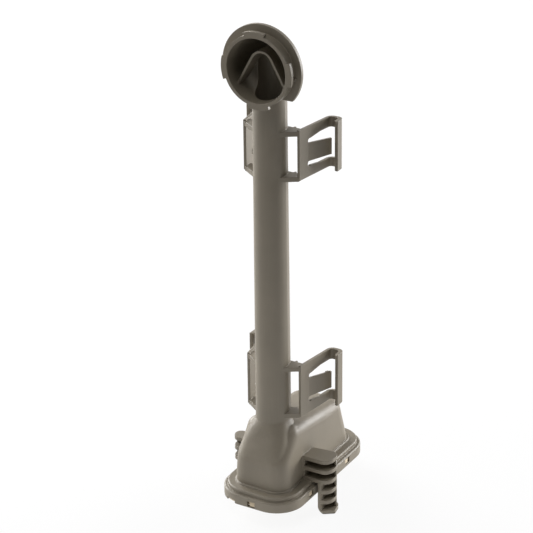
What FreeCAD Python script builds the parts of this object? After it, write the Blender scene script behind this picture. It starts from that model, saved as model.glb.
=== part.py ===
import FreeCAD, Part
import math
import os

# A feed tube for a dishwasher: a mouth with bayonet lugs at the top, a long tapered tube with
# four spring clips, and a hollow foot whose skirt holds a soft sealing ring.
# Millimetres. The origin is on the tube's axis at the skirt's lower edge, +Z runs up the tube
# and the mouth faces -Y.

Vector = FreeCAD.Vector
X_AXIS = Vector(1, 0, 0)
Y_AXIS = Vector(0, 1, 0)
far = 400.0
overlap = 1.0

# Tube
tube_low_radius = 10.35
tube_low_height = 60.0
tube_high_radius = 9.65
tube_high_height = 250.0
bore_radius = 7.9
tube_root_depth = 8.0

# Mouth
mouth_height = 265.06
mouth_radius = 18.37
ring_radius = 20.24
ring_front = -14.34
flange_radius = 24.78
flange_front = -8.28
flange_thickness = 2.2
flange_flat_drop = 15.8
dish_back = 1.1
dish_corner = 6.0
hood_centre = -6.3
lug_reach = 22.1
lug_depth = 2.2
lug_width_angle = 35.0
lug_turn = 3.0
lug_count = 4
stop_radius = 0.8
stop_rise = 0.7
stop_distance = 20.8
stop_drop = 3.0

# Vane that roofs the water way inside the mouth
vane_thickness = 1.3
vane_front = -8.2
vane_leg_angle = 61.0
vane_bend_radius = 6.8
vane_bend_height = 2.2

# Foot: outline, skirt, flange steps and bead
base_half_width = 25.55
base_front = -27.72
base_back = 72.4
base_corner = 17.66
base_back_corner = 16.8
skirt_height = 6.2
skirt_wall = 1.8
skirt_roof = 1.0
skirt_edge_bevel = 0.7
step_inset = 2.2
plate_edge_bevel = 0.6
plate_top = 8.8
plate_thickness = 1.9
plate_rim_wall = 2.2
bead_inset = 6.8
bead_height = 1.0
bead_bevel = 0.4

# Housing
housing_inset = 7.7
housing_back_inset = 8.2
housing_corner = 10.0
housing_wall = 2.0
housing_side_draft = 0.042
housing_back_draft = 0.28
roof_height = 45.2
roof_slope = 0.132
roof_edge_radius = 6.2
# the front wall: share of the height, share of the way back to the tube's axis, corner radius
housing_front = (
    (0.00, 0.000, 9.0),
    (0.13, 0.004, 9.0),
    (0.26, 0.011, 9.0),
    (0.39, 0.029, 9.0),
    (0.52, 0.090, 9.0),
    (0.65, 0.320, 8.3),
    (0.78, 0.540, 7.4),
    (0.91, 0.703, 7.0),
    (1.04, 0.845, 7.0),
)
# the rows the inner face is drawn through
housing_inner_rows = (0, 2, 4, 6, 8)

# Shoulder from the tube down into the housing's front
shoulder_back = 9.6
shoulder_points = 16
# height, half width, front, squareness of the outline
shoulder_shape = (
    (8.8, 14.0, -18.8, 4.5),
    (14.0, 14.15, -18.85, 4.5),
    (19.2, 14.35, -18.9, 4.5),
    (24.4, 14.5, -18.85, 4.5),
    (29.6, 14.5, -18.1, 4.5),
    (34.8, 14.25, -16.1, 4.1),
    (40.0, 13.6, -13.6, 3.5),
    (45.2, 11.7, -11.3, 2.5),
    (50.4, 9.6, -9.6, 2.0),
)
shoulder_inner_rows = (1, 3, 5, 7)

# Windows and notch in the skirt
window_width = 5.2
window_height = 3.4
front_window_low = 0.7
side_window_low = 1.6
front_window_x = 0.4
side_window_ys = (0.0, 43.4)
notch_x = (-16.7, -10.7)
notch_height = 1.8

# Sealing ring
seal_clearance = 0.1
seal_width = 3.0
seal_low = 0.3
nub_width = 3.6
nub_height = 3.0
nub_recess = 0.3
nub_shift = 0.7

# Spring clips: heights, the hook's outer face and back face
clip_low_bottom = 51.5
clip_low_height = 33.1
clip_low_hook_x = 30.0
clip_low_hook_back = 31.6
clip_high_bottom = 199.6
clip_high_height = 29.6
clip_high_hook_x = 29.5
clip_high_hook_back = 30.9
clip_front = 1.0
clip_front_x = 17.94
clip_splay = 7.65
clip_thickness = 1.5
clip_front_bevel = 0.3
hook_thickness = 1.9
hook_bar = 2.2
hook_bar_lean = 0.3
hook_lip_front = 23.0
hook_lip_bevel = 0.8
hook_inner_radius = 1.9
hook_outer_radius = 4.3
hook_corner_radius = 3.2
lip_radius = 0.5
# the opening round the tongue, (y, share of the clip's height): the tongue's edge, the slot's
# round end, then the slot's outer edge
slot_above = ((10.2, 0.67), (8.8, 0.705), (10.6, 0.757), (19.7, 0.80), (far, 0.81))
slot_below = ((10.2, 0.318), (8.7, 0.285), (11.4, 0.21), (19.7, 0.175), (far, 0.155))
tongue_root_y = 9.0
tongue_tip_y = 25.7
tongue_splay = 18.2
tongue_thickness = 1.35
# the tongue from the side, (y, share of the clip's height), and the nub on its upper edge
tongue_below = ((0.0, 0.318), (30.0, 0.295))
tongue_above = ((30.0, 0.608), (0.0, 0.70))
tongue_nub = ((24.9, 0.622), (24.2, 0.64), (22.6, 0.645), (22.2, 0.628))
arm_thickness = 2.7
arm_below_top = 0.8
arm_below_bottom = 0.6
arm_outline = (
    (7.5, -5.5), (9.4, -4.2), (15.8, 0.2), (17.3, 1.0), (17.5, 6.2),
    (12.8, 6.2), (12.4, 7.5), (11.4, 7.5), (11.0, 6.2), (7.0, 6.2),
)

# Finger grips
grip_top = 24.2
rib_thickness = 2.3
rib_pitch = 6.7
grip_front = 3.8
grip_back = 17.8
grip_back_rise = 2.2
grip_front_radius = 6.0
grip_back_radius = 5.0
grip_wall = 2.2
grip_wall_end = 1.6
grip_plate_ribs = 3
long_grip_reach = 35.0
long_grip_ribs = 6
short_grip_reach = 31.5
short_grip_back = 13.0
short_grip_front_radius = 4.6
short_grip_back_radius = 3.6
paddle_inner_x = 27.5
paddle_wall = 2.0
paddle_corner = 4.5
paddle_end_bend = 31.0
paddle_end_reach = 36.8
paddle_end_front = 8.0
paddle_end_radius = 1.0


def outline(corners, z):
    """A closed outline at height z from (x, y, corner radius) corners."""
    joins = []
    for index, (x, y, radius) in enumerate(corners):
        corner = Vector(x, y, z)
        last = corners[index - 1]
        following = corners[(index + 1) % len(corners)]
        back = (Vector(last[0], last[1], z) - corner).normalize()
        onward = (Vector(following[0], following[1], z) - corner).normalize()
        half = back.getAngle(onward) / 2
        tangent = radius / math.tan(half)
        middle = corner + (back + onward).normalize() * (radius / math.sin(half) - radius)
        joins.append((corner + back * tangent, middle, corner + onward * tangent, radius))
    edges = []
    for index, (start, middle, end, radius) in enumerate(joins):
        if radius > 0:
            edges.append(Part.Arc(start, middle, end).toShape())
        edges.append(Part.LineSegment(end, joins[(index + 1) % len(joins)][0]).toShape())
    return Part.Wire(edges)


def prism(corners, z_low, z_high):
    """A solid of one outline between two heights."""
    return Part.Face(outline(corners, z_low)).extrude(Vector(0, 0, z_high - z_low))


def plan_ring(z, half_width, y_front, y_back, front_corner, back_corner):
    """A closed outline at height z: a rectangle about the Y axis with rounded corners."""
    return outline((
        (-half_width, y_front, front_corner), (half_width, y_front, front_corner),
        (half_width, y_back, back_corner), (-half_width, y_back, back_corner),
    ), z)


def base_outline(inset, z):
    """The foot's outline, set in by the same amount all round."""
    return plan_ring(z, base_half_width - inset, base_front + inset, base_back - inset,
                     base_corner - inset, base_back_corner - inset)


def base_prism(inset, z_low, z_high):
    """A slab of the foot's outline between two heights."""
    return Part.Face(base_outline(inset, z_low)).extrude(Vector(0, 0, z_high - z_low))


def upper_edges(slab, z):
    """The edges of a slab that lie above height z."""
    return [edge for edge in slab.Edges if edge.BoundBox.ZMin > z]


def tube_radius(z):
    """Outer radius of the tapered tube at height z."""
    share = (z - tube_low_height) / (tube_high_height - tube_low_height)
    return tube_low_radius + share * (tube_high_radius - tube_low_radius)


def turned(profile):
    """A solid turned about the mouth's axis from (radius, y) points; a triple is an arc's middle."""
    edges = []
    for start, end, middle in profile:
        a = Vector(start[0], start[1], mouth_height)
        b = Vector(end[0], end[1], mouth_height)
        if middle is None:
            edges.append(Part.LineSegment(a, b).toShape())
        else:
            m = Vector(middle[0], middle[1], mouth_height)
            edges.append(Part.Arc(a, m, b).toShape())
    face = Part.Face(Part.Wire(edges))
    return face.revolve(Vector(0, 0, mouth_height), Y_AXIS, 360)


def dish(radius, back, corner):
    """A round dish about the mouth's axis, open at the ring's front, with a rounded back edge."""
    bend = corner * math.sqrt(0.5)
    middle = (radius - corner + bend, back - corner + bend)
    return turned([
        ((0, ring_front), (radius, ring_front), None),
        ((radius, ring_front), (radius, back - corner), None),
        ((radius, back - corner), (radius - corner, back), middle),
        ((radius - corner, back), (0, back), None),
        ((0, back), (0, ring_front), None),
    ])


def under_vane(offset):
    """All the space below the vane's middle surface, moved up by offset."""
    lean = math.radians(vane_leg_angle)
    radius = vane_bend_radius + offset
    centre = mouth_height + vane_bend_height
    touch_x = radius * math.sin(lean)
    touch_z = centre + radius * math.cos(lean)
    run = far / math.sin(lean)
    foot_x = touch_x + run * math.cos(lean)
    foot_z = touch_z - far
    left_foot = Vector(-foot_x, -far, foot_z)
    left_touch = Vector(-touch_x, -far, touch_z)
    right_touch = Vector(touch_x, -far, touch_z)
    right_foot = Vector(foot_x, -far, foot_z)
    edges = [
        Part.LineSegment(left_foot, left_touch).toShape(),
        Part.Arc(left_touch, Vector(0, -far, centre + radius), right_touch).toShape(),
        Part.LineSegment(right_touch, right_foot).toShape(),
        Part.LineSegment(right_foot, left_foot).toShape(),
    ]
    return Part.Face(Part.Wire(edges)).extrude(Vector(0, 2 * far, 0))


def hood(radius, offset):
    """The round back of the mouth above the vane."""
    ball = Part.makeSphere(radius, Vector(0, hood_centre, mouth_height))
    behind = Part.makeBox(2 * far, far, far, Vector(-far, hood_centre, mouth_height - far / 2))
    return ball.common(behind).cut(under_vane(offset))


def lug(angle):
    """One bayonet lug on the ring, flush with the ring's front."""
    inner = ring_radius - (ring_radius - mouth_radius) / 2
    start = math.radians(angle - lug_width_angle / 2)
    end = math.radians(angle + lug_width_angle / 2)
    middle = math.radians(angle)

    def at(radius, turn):
        return Vector(radius * math.cos(turn), ring_front, mouth_height + radius * math.sin(turn))

    edges = [
        Part.LineSegment(at(inner, start), at(lug_reach, start)).toShape(),
        Part.Arc(at(lug_reach, start), at(lug_reach, middle), at(lug_reach, end)).toShape(),
        Part.LineSegment(at(lug_reach, end), at(inner, end)).toShape(),
        Part.Arc(at(inner, end), at(inner, middle), at(inner, start)).toShape(),
    ]
    return Part.Face(Part.Wire(edges)).extrude(Vector(0, lug_depth, 0))


def mouth_flange():
    """The round flange behind the lugs, cut off flat below, with the stop for the bayonet."""
    disc = Part.makeCylinder(flange_radius, flange_thickness, Vector(0, flange_front, mouth_height), Y_AXIS)
    below = Part.makeBox(2 * far, far, far, Vector(-far, -far / 2, mouth_height - flange_flat_drop - far))
    place = Vector(stop_distance, flange_front - stop_rise, mouth_height - stop_drop)
    stop = Part.makeCylinder(stop_radius, stop_rise + flange_thickness / 2, place, Y_AXIS)
    return disc.cut(below).fuse(stop)


def vane():
    """The bent plate across the mouth, from its front edge to the dish's back wall."""
    half = vane_thickness / 2
    band = under_vane(half).cut(under_vane(-half))
    seat = (mouth_radius + ring_radius) / 2
    length = dish_back + (ring_radius - mouth_radius) / 2 - vane_front
    room = Part.makeCylinder(seat, length, Vector(0, vane_front, mouth_height), Y_AXIS)
    return band.common(room)


def pipe():
    """The tapered tube, from inside the housing up to the vane that roofs it."""
    low = roof_height - tube_root_depth
    high = mouth_height + vane_bend_height + vane_bend_radius + vane_thickness
    cone = Part.makeCone(tube_radius(low), tube_radius(high), high - low, Vector(0, 0, low))
    return cone.common(under_vane(vane_thickness / 2))


def bore():
    """The water way through the tube."""
    low = plate_top
    high = mouth_height + vane_bend_height + vane_bend_radius + vane_thickness
    rod = Part.makeCylinder(bore_radius, high - low, Vector(0, 0, low))
    return rod.common(under_vane(-vane_thickness / 2))


def housing_block(inset, rows, ruled):
    """The drafted housing under its sloping roof, set in by a wall for the inner face."""
    height = roof_height - plate_top
    front_foot = base_front + housing_inset
    outlines = []
    for share, travel, corner in rows:
        rise = share * height
        outlines.append(plan_ring(
            plate_top + rise,
            base_half_width - housing_inset - housing_side_draft * rise - inset,
            front_foot * (1 - travel) + inset,
            base_back - housing_back_inset - housing_back_draft * rise - inset,
            corner - inset,
            housing_corner - inset,
        ))
    block = Part.makeLoft(outlines, True, ruled)
    lowered = roof_height - inset
    roof_face = Part.Face(Part.makePolygon([
        Vector(-far, -far, lowered + far * roof_slope),
        Vector(-far, far, lowered - far * roof_slope),
        Vector(-far, far, far),
        Vector(-far, -far, far),
        Vector(-far, -far, lowered + far * roof_slope),
    ]))
    return block.cut(roof_face.extrude(Vector(2 * far, 0, 0)))


def rounded_roof(block):
    """Rounds the edge all round the sloping roof."""
    edges = []
    for edge in block.Edges:
        points = edge.discretize(5)
        if all(abs(p.z - (roof_height - roof_slope * p.y)) < 0.01 for p in points):
            edges.append(edge)
    return block.makeFillet(roof_edge_radius, edges)


def shoulder_block(inset, rows):
    """The bottle-like shoulder that spreads from the tube into the housing's front."""
    outlines = []
    for z, half_width, front, squareness in rows:
        outlines.append(soft_ring(z, half_width - inset, front + inset, shoulder_back - inset, squareness))
    return Part.makeLoft(outlines, True, False)


def soft_ring(z, half_width, y_front, y_back, squareness):
    """A closed outline between an ellipse and a rectangle."""
    centre = (y_front + y_back) / 2
    half_depth = (y_back - y_front) / 2
    points = []
    for step in range(shoulder_points):
        turn = 2 * math.pi * step / shoulder_points
        across = abs(math.cos(turn)) / half_width
        along = abs(math.sin(turn)) / half_depth
        reach = (across ** squareness + along ** squareness) ** (-1 / squareness)
        points.append(Vector(reach * math.cos(turn), centre + reach * math.sin(turn), z))
    curve = Part.BSplineCurve()
    curve.interpolate(Points=points, PeriodicFlag=True)
    return Part.Wire([curve.toShape()])


def foot_solid():
    """Skirt, stepped flange plate and bead, still filled."""
    skirt = base_prism(0, 0, skirt_height)
    skirt = skirt.makeChamfer(skirt_edge_bevel, upper_edges(skirt, skirt_height / 2))
    plate = base_prism(step_inset, 0, plate_top)
    plate = plate.makeChamfer(plate_edge_bevel, upper_edges(plate, plate_top / 2))
    bead = base_prism(bead_inset, plate_top - overlap, plate_top + bead_height)
    bead = bead.makeChamfer(bead_bevel, upper_edges(bead, plate_top))
    return skirt.fuse(plate).fuse(bead)


def foot_hollow():
    """The groove for the sealing ring and the hollow under the plate."""
    groove = base_prism(skirt_wall, -overlap, skirt_height - skirt_roof)
    hollow = base_prism(step_inset + plate_rim_wall, -overlap, plate_top - plate_thickness)
    return groove.fuse(hollow)


def window_cutters():
    """The small windows in the skirt: one in front, one behind and two on each side."""
    deep = 2 * skirt_wall
    cutters = []
    half = window_width / 2
    front = Vector(front_window_x - half, base_front - skirt_wall, front_window_low)
    cutters.append(Part.makeBox(window_width, deep, window_height, front))
    back = Vector(front_window_x - half, base_back - skirt_wall, front_window_low)
    cutters.append(Part.makeBox(window_width, deep, window_height, back))
    for side in (-1, 1):
        for y in side_window_ys:
            place = Vector(side * base_half_width - skirt_wall, y - half, side_window_low)
            cutters.append(Part.makeBox(deep, window_width, window_height, place))
    return cutters


def notch_cutter():
    """The notch in the skirt's lower edge at the front left corner."""
    width = notch_x[1] - notch_x[0]
    place = Vector(notch_x[0], base_front - overlap, -overlap)
    return Part.makeBox(width, base_corner / 2, notch_height + overlap, place)


def clip(bottom, height, hook_x, hook_back, nub):
    """A right-hand spring clip: a splayed plate with a hook, a tongue and two arms to the tube."""
    splay = math.tan(math.radians(clip_splay))
    shift = clip_thickness / math.cos(math.radians(clip_splay))
    crossing = hook_back - hook_thickness
    hook_inner = hook_x - hook_bar
    strip = prism((
        (clip_front_x, clip_front, 0),
        (clip_front_x + (crossing - clip_front) * splay, crossing, hook_inner_radius),
        (hook_inner, crossing, hook_inner_radius),
        (hook_inner, hook_lip_front + hook_lip_bevel, lip_radius),
        (hook_x, hook_lip_front, lip_radius),
        (hook_x - hook_bar_lean, hook_back, hook_corner_radius),
        (clip_front_x - shift + (hook_back - clip_front) * splay, hook_back, hook_outer_radius),
        (clip_front_x - shift, clip_front + clip_front_bevel, 0),
    ), bottom, bottom + height)
    strip = strip.cut(clip_slots(bottom, height, hook_inner))
    arms = [
        clip_arm(bottom + height - arm_below_top - arm_thickness),
        clip_arm(bottom - arm_below_bottom),
    ]
    return strip.multiFuse([clip_tongue(bottom, height, nub)] + arms)


def side_points(shape, bottom, height):
    """Points on the plane x = 0 from (y, share of the clip's height) pairs."""
    return [Vector(0, y, bottom + share * height) for y, share in shape]


def clip_slots(bottom, height, width):
    """The opening round the tongue, cut through the plate and the hook's bend."""
    above = side_points(slot_above, bottom, height)
    below = side_points(slot_below, bottom, height)
    edges = [
        Part.LineSegment(below[0], above[0]).toShape(),
        Part.Arc(above[0], above[1], above[2]).toShape(),
        Part.LineSegment(above[2], above[3]).toShape(),
        Part.LineSegment(above[3], above[4]).toShape(),
        Part.LineSegment(above[4], below[4]).toShape(),
        Part.LineSegment(below[4], below[3]).toShape(),
        Part.LineSegment(below[3], below[2]).toShape(),
        Part.Arc(below[2], below[1], below[0]).toShape(),
    ]
    return Part.Face(Part.Wire(edges)).extrude(Vector(width, 0, 0))


def clip_tongue(bottom, height, nub):
    """The tongue between the slots, bent further out than the plate."""
    root_x = clip_front_x + (tongue_root_y - clip_front) * math.tan(math.radians(clip_splay))
    lean = math.radians(tongue_splay)
    tip_x = root_x + (tongue_tip_y - tongue_root_y) * math.tan(lean)
    inward = Vector(-math.cos(lean), math.sin(lean), 0) * tongue_thickness
    root = Vector(root_x, tongue_root_y, bottom)
    tip = Vector(tip_x, tongue_tip_y, bottom)
    plan = Part.Face(Part.makePolygon([root, tip, tip + inward, root + inward, root]))
    shape = tongue_below + tongue_above
    if nub:
        shape = tongue_below + tongue_above[:1] + tongue_nub + tongue_above[1:]
    side = side_points(shape + tongue_below[:1], bottom, height)
    reach = Part.Face(Part.makePolygon(side)).extrude(Vector(far, 0, 0))
    return plan.extrude(Vector(0, 0, height)).common(reach)


def clip_arm(low):
    """A flat arm from the tube to the clip's plate."""
    return prism([(x, y, 0) for x, y in arm_outline], low, low + arm_thickness)


def grip(reach, back, front_radius, back_radius, ribs):
    """A right-hand finger grip: ribs on a back wall, open to the front and outward."""
    root = base_half_width - housing_inset - housing_wall / 2
    corners = (
        (root, grip_front, 0), (reach, grip_front, front_radius),
        (reach, back, back_radius), (root, back - grip_back_rise, 0),
    )
    low = grip_top - (ribs - 1) * rib_pitch - rib_thickness
    whole = prism(corners, low, grip_top)
    room = whole.copy()
    room.translate(Vector(grip_wall_end, -grip_wall, 0))
    pieces = [whole.cut(room)]
    for count in range(ribs):
        top = grip_top - count * rib_pitch
        pieces.append(prism(corners, top - rib_thickness, top))
    if ribs == grip_plate_ribs:
        return pieces[0].multiFuse(pieces[1:])
    # the ribs below the plate hang clear of the skirt on a wall of their own
    plate_low = grip_top - (grip_plate_ribs - 1) * rib_pitch - rib_thickness
    inner_wall = Part.makeBox(paddle_wall, 2 * far, plate_low - low, Vector(paddle_inner_x, -far, low))
    pieces.append(whole.common(inner_wall))
    end_rib = (
        (root, grip_front, 0), (paddle_end_bend, grip_front, paddle_end_radius),
        (paddle_end_reach, paddle_end_front, paddle_end_radius), corners[2], corners[3],
    )
    pieces.append(prism(end_rib, low, low + rib_thickness))
    side = prism((
        (root - overlap, grip_top + overlap, 0), (root - overlap, plate_low, 0),
        (paddle_inner_x, plate_low, 0),
        (paddle_inner_x, low, paddle_corner), (paddle_end_reach + overlap, low, 0),
        (paddle_end_reach + overlap, grip_top + overlap, 0),
    ), -far, far)
    side.rotate(Vector(0, 0, 0), X_AXIS, 90)
    return pieces[0].multiFuse(pieces[1:]).common(side)


def tube_body():
    """The whole moulding."""
    outer = [
        rounded_roof(housing_block(0, housing_front, False)), shoulder_block(0, shoulder_shape), pipe(),
        mouth_flange(), hood(ring_radius, -vane_thickness / 2),
    ]
    outer += [lug(lug_turn + 360 / lug_count * count) for count in range(lug_count)]
    wall = ring_radius - mouth_radius
    body = dish(ring_radius, dish_back + wall, dish_corner + wall)
    body = foot_solid().multiFuse(outer + [body])
    left = -X_AXIS
    grips = [
        grip(long_grip_reach, grip_back, grip_front_radius, grip_back_radius, long_grip_ribs),
        grip(short_grip_reach, short_grip_back, short_grip_front_radius, short_grip_back_radius,
             grip_plate_ribs).mirror(Vector(0, 0, 0), left),
    ]
    clips = []
    for right_clip in (
        clip(clip_low_bottom, clip_low_height, clip_low_hook_x, clip_low_hook_back, True),
        clip(clip_high_bottom, clip_high_height, clip_high_hook_x, clip_high_hook_back, False),
    ):
        clips += [right_clip, right_clip.mirror(Vector(0, 0, 0), left)]
    body = body.multiFuse(grips + clips)
    hollows = [
        housing_hollow(), bore(), foot_hollow(), dish(mouth_radius, dish_back, dish_corner),
        hood(mouth_radius, vane_thickness / 2), notch_cutter(),
    ]
    for hollow in hollows + window_cutters():
        body = body.cut(hollow)
    return body.fuse(vane()).removeSplitter()


def housing_hollow():
    """The inside of the housing and its shoulder, open below."""
    block = housing_block(housing_wall, [housing_front[row] for row in housing_inner_rows], True)
    block = block.fuse(shoulder_block(housing_wall, [shoulder_shape[row] for row in shoulder_inner_rows]))
    low = plate_top - plate_thickness - overlap
    foot = plan_ring(low, base_half_width - housing_inset - housing_wall,
                     base_front + housing_inset + housing_wall,
                     base_back - housing_back_inset - housing_wall,
                     housing_corner - housing_wall, housing_corner - housing_wall)
    return block.fuse(Part.Face(foot).extrude(Vector(0, 0, plate_top - low)))


def rim_seal():
    """The soft ring in the skirt's groove, with nubs that show in the windows."""
    outer = skirt_wall + seal_clearance
    ring = base_prism(outer, seal_low, skirt_height - skirt_roof)
    ring = ring.cut(base_prism(outer + seal_width, 0, skirt_height))
    half = nub_width / 2
    play = (window_height - nub_height) / 2
    depth = skirt_wall - nub_recess + seal_width / 2
    nubs = []
    for y in (base_front + nub_recess, base_back - nub_recess - depth):
        low = Vector(front_window_x + nub_shift - half, y, front_window_low + play)
        nubs.append(Part.makeBox(nub_width, depth, nub_height, low))
    for y in side_window_ys:
        low = Vector(base_half_width - nub_recess - depth, y - nub_shift - half, side_window_low + play)
        nub = Part.makeBox(depth, nub_width, nub_height, low)
        nubs += [nub, nub.mirror(Vector(0, 0, 0), X_AXIS)]
    return ring.multiFuse(nubs).removeSplitter()


os.makedirs("parts", exist_ok=True)
for name, shape in (("tube_body", tube_body()), ("rim_seal", rim_seal())):
    solids = shape.Solids
    print(name, "solids", len(solids), "valid", shape.isValid(), "volume", round(shape.Volume, 1))
    solids[0].exportStep("parts/" + name + ".step")
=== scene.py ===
import math

import bmesh
import bpy
from mathutils import Matrix, Vector


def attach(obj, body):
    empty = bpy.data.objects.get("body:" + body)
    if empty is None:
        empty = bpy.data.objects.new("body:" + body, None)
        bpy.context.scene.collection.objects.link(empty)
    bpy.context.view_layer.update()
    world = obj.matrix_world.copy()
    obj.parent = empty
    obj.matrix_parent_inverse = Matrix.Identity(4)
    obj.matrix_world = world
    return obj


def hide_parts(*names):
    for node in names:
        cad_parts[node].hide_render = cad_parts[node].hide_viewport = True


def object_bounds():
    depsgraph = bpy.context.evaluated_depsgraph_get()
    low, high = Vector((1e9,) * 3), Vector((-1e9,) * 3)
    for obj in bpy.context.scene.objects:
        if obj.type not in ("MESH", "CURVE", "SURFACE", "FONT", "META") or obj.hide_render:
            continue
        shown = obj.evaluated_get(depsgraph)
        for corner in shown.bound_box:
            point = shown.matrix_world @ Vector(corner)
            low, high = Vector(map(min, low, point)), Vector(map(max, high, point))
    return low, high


# Looks for a dishwasher feed tube: one taupe-grey satin moulding with a soft cream ring in its
# skirt. Metres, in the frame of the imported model: +Z runs up the tube and the mouth faces -Y.

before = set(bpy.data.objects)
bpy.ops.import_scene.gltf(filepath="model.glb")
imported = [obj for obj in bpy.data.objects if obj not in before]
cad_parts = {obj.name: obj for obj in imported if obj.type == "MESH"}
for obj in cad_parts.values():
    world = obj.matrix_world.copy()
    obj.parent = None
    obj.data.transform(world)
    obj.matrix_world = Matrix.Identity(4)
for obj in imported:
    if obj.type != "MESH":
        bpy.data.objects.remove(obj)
cad_low, cad_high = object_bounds()

# Camera, fitted to the photograph's 533 x 533 frame
IMAGE_SIZE = 533
FOCAL_PIXELS = 2112.05
SENSOR = 36.0
CAMERA_AZIMUTH = 31.048
CAMERA_ELEVATION = 24.769
CAMERA_ROLL = -0.747
CAMERA_DISTANCE = 1.19449
CAMERA_CLIP = (0.05, 30.0)
TARGET_ASIDE = -0.00295
TARGET_HEIGHT = 0.144198

# Soft boxes: azimuth, elevation, width and height, power. Most of the light comes from behind.
SOFT_BOXES = {
    "left_box": (-106, 18, (1.1, 0.8), 29.0),
    "left_front_box": (-48, 22, (0.8, 0.8), 3.0),
    "top_box": (10, 72, (0.8, 0.8), 4.5),
    "right_box": (150, 8, (0.7, 0.7), 23.0),
}
BOX_AIM = Vector((0, 0.01, 0.14))
BOX_DISTANCE = 1.3
TABLE_GLOW_SIZE = (0.7, 0.7)
TABLE_GLOW_POWER = 1.4
TABLE_GLOW_LIFT = 0.0005

# Floor and surroundings. The floor's bounce is its colour for light that it throws on the object.
FLOOR_HALF = 3.0
FLOOR_COLOUR = (0.9, 0.9, 0.9, 1.0)
FLOOR_BOUNCE = (0.15, 0.15, 0.15, 1.0)
FLOOR_SHADOW_SHARE = 0.10
WHITE = (1, 1, 1, 1)
WHITE_STRENGTH = 1.0
UNSEEN_STRENGTH = 0.0

# Finish of the plastic. Noises: scale, detail, roughness. Shares and the surface's roughness
# are ranges: from low, from high, to low, to high. A bump has a strength and a depth.
PLASTIC = (0.188, 0.162, 0.121)
PLASTIC_PALE = (0.218, 0.188, 0.142)
# Colour of the pale flecks and upright streaks, and of the painted highlight laid along every edge
PLASTIC_FLECK_AND_EDGE_HIGHLIGHT = (0.240, 0.208, 0.159)
CLOUD = (28.0, 3.0, 0.55)
CLOUD_SHARE = (0.35, 0.65, 0.0, 1.0)
SPECK = (900.0, 2.0, 0.6)
SPECK_SHARE = (0.62, 0.80, 0.0, 0.35)
STREAK = (1400.0, 2.0, 0.6)
STREAK_SHARE = (0.50, 0.72, 0.0, 0.22)
STREAK_STRETCH = (1.0, 1.0, 0.03)
GRAIN = (2600.0, 2.0, 0.6)
GRAIN_BUMP = (0.25, 0.00006)
PLASTIC_ROUGHNESS = (0.3, 0.7, 0.46, 0.54)

# Rounded edges, which the solid has sharp
EDGE_RADIUS = 0.0005
# Samples and turn of the mask for the painted edge highlight
EDGE_SAMPLES = 4
EDGE_TURN = 0.25
ROUNDING_SAMPLES = 16
SKIRT_RADIUS = 0.0007
SKIRT_TOP = (0.0095, 0.0105)
# The soft valleys where the shoulder runs into the housing, one on each side
VALLEY_MIDDLE = (0.0142, -0.007, 0.037)
VALLEY_REACH = (0.008, 0.013, 0.017)
VALLEY_RADIUS = 0.0036
VALLEY_RIM = (0.6, 1.0)

# Finish of the sealing ring
SEAL = (0.66, 0.56, 0.41)
SEAL_DARK = (0.52, 0.43, 0.30)
SEAL_CLOUD = (120.0, 3.0, 0.6)
SEAL_CLOUD_SHARE = (0.35, 0.7, 0.0, 1.0)
SEAL_GRAIN = (1800.0, 2.0, 0.6)
SEAL_BUMP = (0.4, 0.00008)
SEAL_ROUGHNESS = (0.3, 0.7, 0.65, 0.8)

# Shape of the sealing ring
SEAL_LOW = 0.0003
SEAL_HIGH = 0.0052
SEAL_WIDTH = 0.0030
SEAL_CORNER = 0.0008
SEAL_STEP = 0.004
SEAL_BEND_STEPS = 12
SEAL_SECTION_STEPS = 16
SEAL_SWELL = 0.00005
SEAL_SWELL_TURNS = (0.9, 0.37)
SEAL_HALF_SPAN = 0.02215
SEAL_FRONT = -0.02432
SEAL_BACK = 0.0690
SEAL_FRONT_BEND = 0.01426
SEAL_BACK_BEND = 0.0134

# The ring's nubs in the skirt's windows: x, y, z, quarter turns about Z
NUBS = (
    (0.0011, -0.02592, 0.0024, 0), (0.0011, 0.0706, 0.0024, 0),
    (0.02375, -0.0007, 0.0033, 1), (0.02375, 0.0427, 0.0033, 1),
    (-0.02375, -0.0007, 0.0033, 1), (-0.02375, 0.0427, 0.0033, 1),
)
NUB_SIZE = (0.0036, 0.0030, 0.0030)
NUB_ROUND = 0.0004
NUB_ROUND_STEPS = 3

# The ring's tab in the notch in the skirt's front left corner
TAB_ARC = (241.5, 258.5)
TAB_REACH = (0.0140, 0.01725)
TAB_HEIGHTS = (0.0008, 0.0017)
TAB_STEPS = 6

# Outer back corners of the two finger grips: side, arc centre, radius, lowest and highest point
GRIP_CORNERS = {
    "long_grip_corner": (1, (0.0300, 0.01216), 0.00490, (-0.0108, 0.0234)),
    "short_grip_corner": (-1, (0.0279, 0.00882), 0.00350, (0.0093, 0.0234)),
}
GRIP_CORNER_WALL = 0.0011
GRIP_CORNER_ARC = (8, 96)
GRIP_CORNER_STEPS = 14

NODE_STEP = 200


def toward(azimuth, elevation):
    """A direction in degrees as a unit vector; azimuth 0 is the mouth's side and 90 is +X."""
    a = math.radians(azimuth)
    e = math.radians(elevation)
    return Vector((math.sin(a) * math.cos(e), -math.cos(a) * math.cos(e), math.sin(e)))


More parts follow.
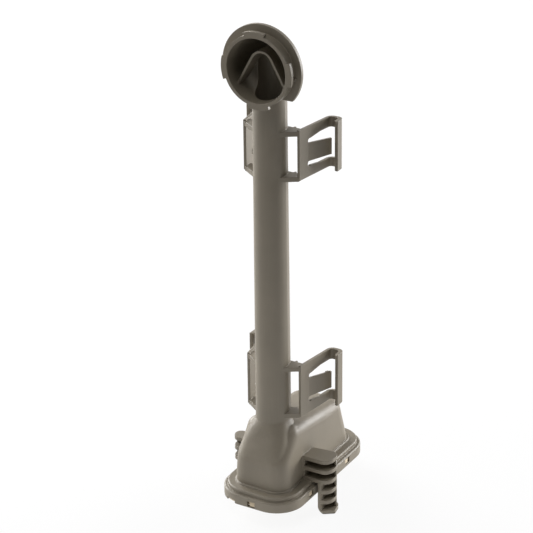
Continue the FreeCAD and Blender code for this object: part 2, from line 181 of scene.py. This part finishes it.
def make_camera():
    """The photograph's viewing angle, with the roll of the picture."""
    back = toward(CAMERA_AZIMUTH, CAMERA_ELEVATION)
    right = toward(CAMERA_AZIMUTH + 90, 0)
    up = back.cross(right)
    roll = math.radians(CAMERA_ROLL)
    turned_right = right * math.cos(roll) + up * math.sin(roll)
    turned_up = up * math.cos(roll) - right * math.sin(roll)
    target = right * TARGET_ASIDE + Vector((0, 0, TARGET_HEIGHT))
    data = bpy.data.cameras.new("camera")
    data.sensor_width = SENSOR
    data.lens = FOCAL_PIXELS * SENSOR / IMAGE_SIZE
    data.clip_start, data.clip_end = CAMERA_CLIP
    camera = bpy.data.objects.new("camera", data)
    turn = Matrix((turned_right, turned_up, back)).transposed().to_4x4()
    camera.matrix_world = Matrix.Translation(target + back * CAMERA_DISTANCE) @ turn
    bpy.context.scene.collection.objects.link(camera)
    bpy.context.scene.camera = camera


def new_lamp(name, shape, size, power, place, facing):
    """An area lamp that the camera doesn't see."""
    data = bpy.data.lights.new(name, "AREA")
    data.shape = shape
    data.size, data.size_y = size
    data.energy = power
    lamp = bpy.data.objects.new(name, data)
    turn = facing.to_track_quat("-Z", "Y").to_matrix().to_4x4()
    lamp.matrix_world = Matrix.Translation(place) @ turn
    lamp.visible_camera = False
    bpy.context.scene.collection.objects.link(lamp)
    return lamp


def make_lamps():
    """The soft boxes, and the light that the table right under the object throws up."""
    for name, (azimuth, elevation, size, power) in SOFT_BOXES.items():
        away = toward(azimuth, elevation)
        new_lamp(name, "RECTANGLE", size, power, BOX_AIM + away * BOX_DISTANCE, -away)
    on_table = Vector((0, 0, cad_low.z + TABLE_GLOW_LIFT))
    glow = new_lamp("table_glow", "DISK", TABLE_GLOW_SIZE, TABLE_GLOW_POWER, on_table,
                    Vector((0, 0, 1)))
    glow.visible_glossy = False


def add_node(tree, kind, settings=None, **inputs):
    """A shader node with its settings and unlinked inputs, to the right of the last one."""
    place = (NODE_STEP * len(tree.nodes), 0)
    made = tree.nodes.new(kind)
    made.location = place
    for key, value in (settings or {}).items():
        setattr(made, key, value)
    for key, value in inputs.items():
        made.inputs[key.replace("_", " ")].default_value = value
    return made


def join(tree, kind, operation, first, second):
    """A math node of the kind, fed by two outputs."""
    made = add_node(tree, kind, {"operation": operation})
    tree.links.new(first, made.inputs[0])
    tree.links.new(second, made.inputs[1])
    return made.outputs


def mix_shaders(tree, first, second):
    """A mix of two shaders, whose share is still to be set or linked."""
    made = add_node(tree, "ShaderNodeMixShader")
    tree.links.new(first.outputs[0], made.inputs[1])
    tree.links.new(second.outputs[0], made.inputs[2])
    return made


def seen_directly(tree):
    """1 where a camera, glossy or transmission ray looks, and 0 for light that falls on things."""
    path = add_node(tree, "ShaderNodeLightPath").outputs
    seen = join(tree, "ShaderNodeMath", "MAXIMUM", path["Is Camera Ray"], path["Is Glossy Ray"])[0]
    return join(tree, "ShaderNodeMath", "MAXIMUM", seen, path["Is Transmission Ray"])[0]


def make_world():
    """White where it is looked at, and dark otherwise, so that only the lamps light the object."""
    world = bpy.data.worlds.new("studio")
    bpy.context.scene.world = world
    world.use_nodes = True
    tree = world.node_tree
    tree.nodes.clear()
    dark = add_node(tree, "ShaderNodeBackground", Color=WHITE, Strength=UNSEEN_STRENGTH)
    white = add_node(tree, "ShaderNodeBackground", Color=WHITE, Strength=WHITE_STRENGTH)
    mix = mix_shaders(tree, dark, white)
    tree.links.new(seen_directly(tree), mix.inputs[0])
    out = add_node(tree, "ShaderNodeOutputWorld")
    tree.links.new(mix.outputs[0], out.inputs[0])


def make_floor():
    """A plain white floor under the lowest point, which keeps a faint shadow."""
    mesh = bpy.data.meshes.new("floor")
    corners = [(x * FLOOR_HALF, y * FLOOR_HALF, cad_low.z)
               for x, y in ((-1, -1), (1, -1), (1, 1), (-1, 1))]
    mesh.from_pydata(corners, [], [(0, 1, 2, 3)])
    floor = bpy.data.objects.new("floor", mesh)
    bpy.context.scene.collection.objects.link(floor)
    material = bpy.data.materials.new("white_floor")
    material.use_nodes = True
    tree = material.node_tree
    tree.nodes.clear()
    glow = add_node(tree, "ShaderNodeEmission", Color=WHITE, Strength=WHITE_STRENGTH)
    paint = add_node(tree, "ShaderNodeBsdfDiffuse", Color=FLOOR_COLOUR)
    shown = mix_shaders(tree, glow, paint)
    shown.inputs[0].default_value = FLOOR_SHADOW_SHARE
    bounce = add_node(tree, "ShaderNodeBsdfDiffuse", Color=FLOOR_BOUNCE)
    mix = mix_shaders(tree, bounce, shown)
    tree.links.new(seen_directly(tree), mix.inputs[0])
    out = add_node(tree, "ShaderNodeOutputMaterial")
    tree.links.new(mix.outputs[0], out.inputs[0])
    mesh.materials.append(material)


def new_surface(name):
    """A material with a Principled shader, its tree and object coordinates."""
    material = bpy.data.materials.new(name)
    material.use_nodes = True
    tree = material.node_tree
    shader = tree.nodes["Principled BSDF"]
    return material, tree, shader, add_node(tree, "ShaderNodeTexCoord").outputs["Object"]


def noise(tree, where, settings):
    """A noise texture over the object."""
    scale, detail, roughness = settings
    made = add_node(tree, "ShaderNodeTexNoise", Scale=scale, Detail=detail, Roughness=roughness)
    tree.links.new(where, made.inputs["Vector"])
    return made.outputs["Fac"]


def spread(tree, value, limits):
    """A value mapped from one range to another, and held within it."""
    made = add_node(tree, "ShaderNodeMapRange")
    for socket, limit in zip(("From Min", "From Max", "To Min", "To Max"), limits):
        made.inputs[socket].default_value = limit
    tree.links.new(value, made.inputs["Value"])
    return made.outputs["Result"]


def blend(tree, share, first, second):
    """A mix of two colours; each is a colour or another node's output."""
    made = add_node(tree, "ShaderNodeMix", {"data_type": "RGBA"})
    factor, colour_a, colour_b, result = 0, 6, 7, 2
    tree.links.new(share, made.inputs[factor])
    for socket, colour in ((colour_a, first), (colour_b, second)):
        if isinstance(colour, tuple):
            made.inputs[socket].default_value = (*colour, 1.0)
        else:
            tree.links.new(colour, made.inputs[socket])
    return made.outputs[result]


def bump(tree, height, settings, normal=None):
    """A normal with fine relief of a strength and a depth."""
    strength, depth = settings
    made = add_node(tree, "ShaderNodeBump", Strength=strength, Distance=depth)
    tree.links.new(height, made.inputs["Height"])
    if normal is not None:
        tree.links.new(normal, made.inputs["Normal"])
    return made.outputs[0]


def vector_step(tree, operation, first, second=None):
    """One step of vector arithmetic on an output, with a constant where a second is needed."""
    made = add_node(tree, "ShaderNodeVectorMath", {"operation": operation})
    tree.links.new(first, made.inputs[0])
    if second:
        made.inputs[1].default_value = second
    return made.outputs["Value" if operation == "LENGTH" else "Vector"]


def painted_edge_highlight_share(tree):
    """Share of the painted edge highlight: 0 on flat faces, up to 1 along sharp edges, from how a
    rounded normal leaves the true one.
    """
    rounded = add_node(tree, "ShaderNodeBevel", {"samples": EDGE_SAMPLES}, Radius=EDGE_RADIUS)
    true = add_node(tree, "ShaderNodeNewGeometry")
    match = join(tree, "ShaderNodeVectorMath", "DOT_PRODUCT",
                 rounded.outputs[0], true.outputs["Normal"])
    return spread(tree, match["Value"], (1.0, 1.0 - EDGE_TURN, 0.0, 1.0))


def rounding_radius(tree, where):
    """The edges' radius, wider on the skirt and in the valleys beside the shoulder."""
    aside = vector_step(tree, "ABSOLUTE", vector_step(tree, "MULTIPLY", where, (1, 0, 0)))
    rest = vector_step(tree, "MULTIPLY", where, (0, 1, 1))
    mirrored = join(tree, "ShaderNodeVectorMath", "ADD", aside, rest)[0]
    centred = vector_step(tree, "SUBTRACT", mirrored, VALLEY_MIDDLE)
    away = vector_step(tree, "LENGTH", vector_step(tree, "DIVIDE", centred, VALLEY_REACH))
    valley = spread(tree, away, (*VALLEY_RIM, VALLEY_RADIUS, EDGE_RADIUS))
    parts = add_node(tree, "ShaderNodeSeparateXYZ")
    tree.links.new(where, parts.inputs[0])
    skirt = spread(tree, parts.outputs["Z"], (*SKIRT_TOP, SKIRT_RADIUS, EDGE_RADIUS))
    return join(tree, "ShaderNodeMath", "MAXIMUM", valley, skirt)[0]


def moulded_plastic():
    """Satin moulded plastic: mottling, speckle, upright streaks, a painted highlight along the
    edges and a fine grain.
    """
    material, tree, shader, where = new_surface("moulded_plastic")
    cloud = noise(tree, where, CLOUD)
    tint = blend(tree, spread(tree, cloud, CLOUD_SHARE), PLASTIC, PLASTIC_PALE)
    speck = spread(tree, noise(tree, where, SPECK), SPECK_SHARE)
    tint = blend(tree, speck, tint, PLASTIC_FLECK_AND_EDGE_HIGHLIGHT)
    along = vector_step(tree, "MULTIPLY", where, STREAK_STRETCH)
    streak = spread(tree, noise(tree, along, STREAK), STREAK_SHARE)
    tint = blend(tree, streak, tint, PLASTIC_FLECK_AND_EDGE_HIGHLIGHT)
    # Painted highlight: every edge is made paler in colour
    tint = blend(tree, painted_edge_highlight_share(tree), tint, PLASTIC_FLECK_AND_EDGE_HIGHLIGHT)
    tree.links.new(tint, shader.inputs["Base Color"])
    tree.links.new(spread(tree, cloud, PLASTIC_ROUGHNESS), shader.inputs["Roughness"])
    rounded = add_node(tree, "ShaderNodeBevel", {"samples": ROUNDING_SAMPLES})
    tree.links.new(rounding_radius(tree, where), rounded.inputs["Radius"])
    relief = bump(tree, noise(tree, where, GRAIN), GRAIN_BUMP, rounded.outputs[0])
    tree.links.new(relief, shader.inputs["Normal"])
    return material


def soft_seal():
    """Cream rubber foam, a little darker in patches."""
    material, tree, shader, where = new_surface("cream_rubber")
    cloud = noise(tree, where, SEAL_CLOUD)
    tint = blend(tree, spread(tree, cloud, SEAL_CLOUD_SHARE), SEAL, SEAL_DARK)
    tree.links.new(tint, shader.inputs["Base Color"])
    tree.links.new(spread(tree, cloud, SEAL_ROUGHNESS), shader.inputs["Roughness"])
    relief = bump(tree, noise(tree, where, SEAL_GRAIN), SEAL_BUMP)
    tree.links.new(relief, shader.inputs["Normal"])
    return material


def dress(node, material):
    """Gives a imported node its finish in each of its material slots."""
    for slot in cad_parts[node].material_slots:
        slot.material = material


def new_piece(name, mesh_source, material):
    """A piece of the object, made from a bmesh, that rides with the moulding."""
    mesh = bpy.data.meshes.new(name)
    bmesh.ops.recalc_face_normals(mesh_source, faces=mesh_source.faces)
    mesh_source.to_mesh(mesh)
    mesh_source.free()
    mesh.materials.append(material)
    piece = bpy.data.objects.new(name, mesh)
    bpy.context.scene.collection.objects.link(piece)
    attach(piece, "root")
    return piece


def arc(start, end, steps):
    """Level unit vectors, evenly spaced between two angles in degrees from +X."""
    turns = [math.radians(start + (end - start) * step / steps) for step in range(steps + 1)]
    return [Vector((math.cos(turn), math.sin(turn), 0)) for turn in turns]


def bridge(shape, first, second):
    """Faces between two closed rows of points."""
    count = len(first)
    return [shape.faces.new((first[i], first[(i + 1) % count], second[(i + 1) % count], second[i]))
            for i in range(count)]


def seal_path():
    """Points along the middle of the seal, with the outward direction at each."""
    # side, y, radius and first angle of each corner
    corners = (
        (1, SEAL_FRONT, SEAL_FRONT_BEND, -90), (1, SEAL_BACK, SEAL_BACK_BEND, 0),
        (-1, SEAL_BACK, SEAL_BACK_BEND, 90), (-1, SEAL_FRONT, SEAL_FRONT_BEND, 180),
    )
    path = []
    for side, y, bend, start in corners:
        inward = 1 if y == SEAL_FRONT else -1
        centre = Vector((side * (SEAL_HALF_SPAN - bend), y + inward * bend, 0))
        turn = [(centre + outward * bend, outward)
                for outward in arc(start, start + 90, SEAL_BEND_STEPS)]
        if path:
            path += straight_run(path[-1], turn[0])
        path += turn
    return path + straight_run(path[-1], path[0])


def straight_run(first, last):
    """Evenly spaced points between two points of the path."""
    gap = last[0] - first[0]
    count = max(1, round(gap.length / SEAL_STEP))
    return [(first[0] + gap * (i / count), first[1]) for i in range(1, count)]


def seal_section():
    """The seal's cross-section: a rectangle with round corners, as offsets outward and up."""
    half_width = SEAL_WIDTH / 2 - SEAL_CORNER
    half_height = (SEAL_HIGH - SEAL_LOW) / 2 - SEAL_CORNER
    points = []
    for step in range(SEAL_SECTION_STEPS):
        turn = 2 * math.pi * (step + 0.5) / SEAL_SECTION_STEPS
        across, up = math.cos(turn), math.sin(turn)
        points.append((math.copysign(half_width, across) + across * SEAL_CORNER,
                       math.copysign(half_height, up) + up * SEAL_CORNER))
    return points


def seal_band(soft):
    """The ring itself, slightly uneven along its length."""
    middle = (SEAL_LOW + SEAL_HIGH) / 2
    rows = []
    for step, (place, outward) in enumerate(seal_path()):
        swell = abs(SEAL_SWELL * sum(math.sin(step * turn) for turn in SEAL_SWELL_TURNS))
        rows.append([soft.verts.new(place + outward * (across - math.copysign(swell, across)) +
                                    Vector((0, 0, middle + up)))
                     for across, up in seal_section()])
    for here, there in zip(rows, rows[1:] + rows[:1]):
        bridge(soft, here, there)


def nub(soft, x, y, z, turns):
    """A block with rounded edges that fills one of the skirt's windows."""
    turn = Matrix.Rotation(turns * math.pi / 2, 4, "Z")
    place = Matrix.Translation((x, y, z)) @ turn @ Matrix.Diagonal((*NUB_SIZE, 1))
    block = bmesh.ops.create_cube(soft, size=1, matrix=place)
    edges = {edge for corner in block["verts"] for edge in corner.link_edges}
    bmesh.ops.bevel(soft, geom=list(edges), offset=NUB_ROUND, segments=NUB_ROUND_STEPS,
                    profile=0.5, affect="EDGES")


def notch_tab(soft):
    """The ring's tab in the notch, along the skirt's corner."""
    centre = Vector((SEAL_FRONT_BEND - SEAL_HALF_SPAN, SEAL_FRONT + SEAL_FRONT_BEND, 0))
    inner, outer = TAB_REACH
    low, high = TAB_HEIGHTS
    section = ((inner, low), (outer, low), (outer, high), (inner, high))
    rows = [[soft.verts.new(centre + outward * reach + Vector((0, 0, z))) for reach, z in section]
            for outward in arc(*TAB_ARC, TAB_STEPS)]
    for here, there in zip(rows, rows[1:]):
        bridge(soft, here, there)
    soft.faces.new(rows[0])
    soft.faces.new(rows[-1])


def seal_ring(material):
    """The soft ring in the skirt, with its nubs in the windows and its tab in the notch."""
    soft = bmesh.new()
    seal_band(soft)
    for x, y, z, turns in NUBS:
        nub(soft, x, y, z, turns)
    notch_tab(soft)
    for face in soft.faces:
        face.smooth = True
    ring = new_piece("soft_seal_ring", soft, material)
    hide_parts("rim_seal")


def grip_corner(name, side, centre, radius, heights, material):
    """The wall that closes a finger grip's pockets round the outer back corner."""
    wall = bmesh.new()
    low, high = heights
    inner = radius - GRIP_CORNER_WALL
    section = ((radius, low), (radius, high), (inner, high), (inner, low))
    rows = []
    for outward in arc(*GRIP_CORNER_ARC, GRIP_CORNER_STEPS):
        rows.append([wall.verts.new((side * (centre[0] + reach * outward.x),
                                     centre[1] + reach * outward.y, z)) for reach, z in section])
    for here, there in zip(rows, rows[1:]):
        outside, _, inside, _ = bridge(wall, here, there)
        outside.smooth = inside.smooth = True
    wall.faces.new(rows[0])
    wall.faces.new(rows[-1])
    new_piece(name, wall, material)


make_camera()
make_lamps()
make_world()
make_floor()
plastic = moulded_plastic()
dress("tube_body", plastic)
for name, (side, centre, radius, heights) in GRIP_CORNERS.items():
    grip_corner(name, side, centre, radius, heights, plastic)
seal_ring(soft_seal())
bpy.context.scene.view_settings.view_transform = "Standard"
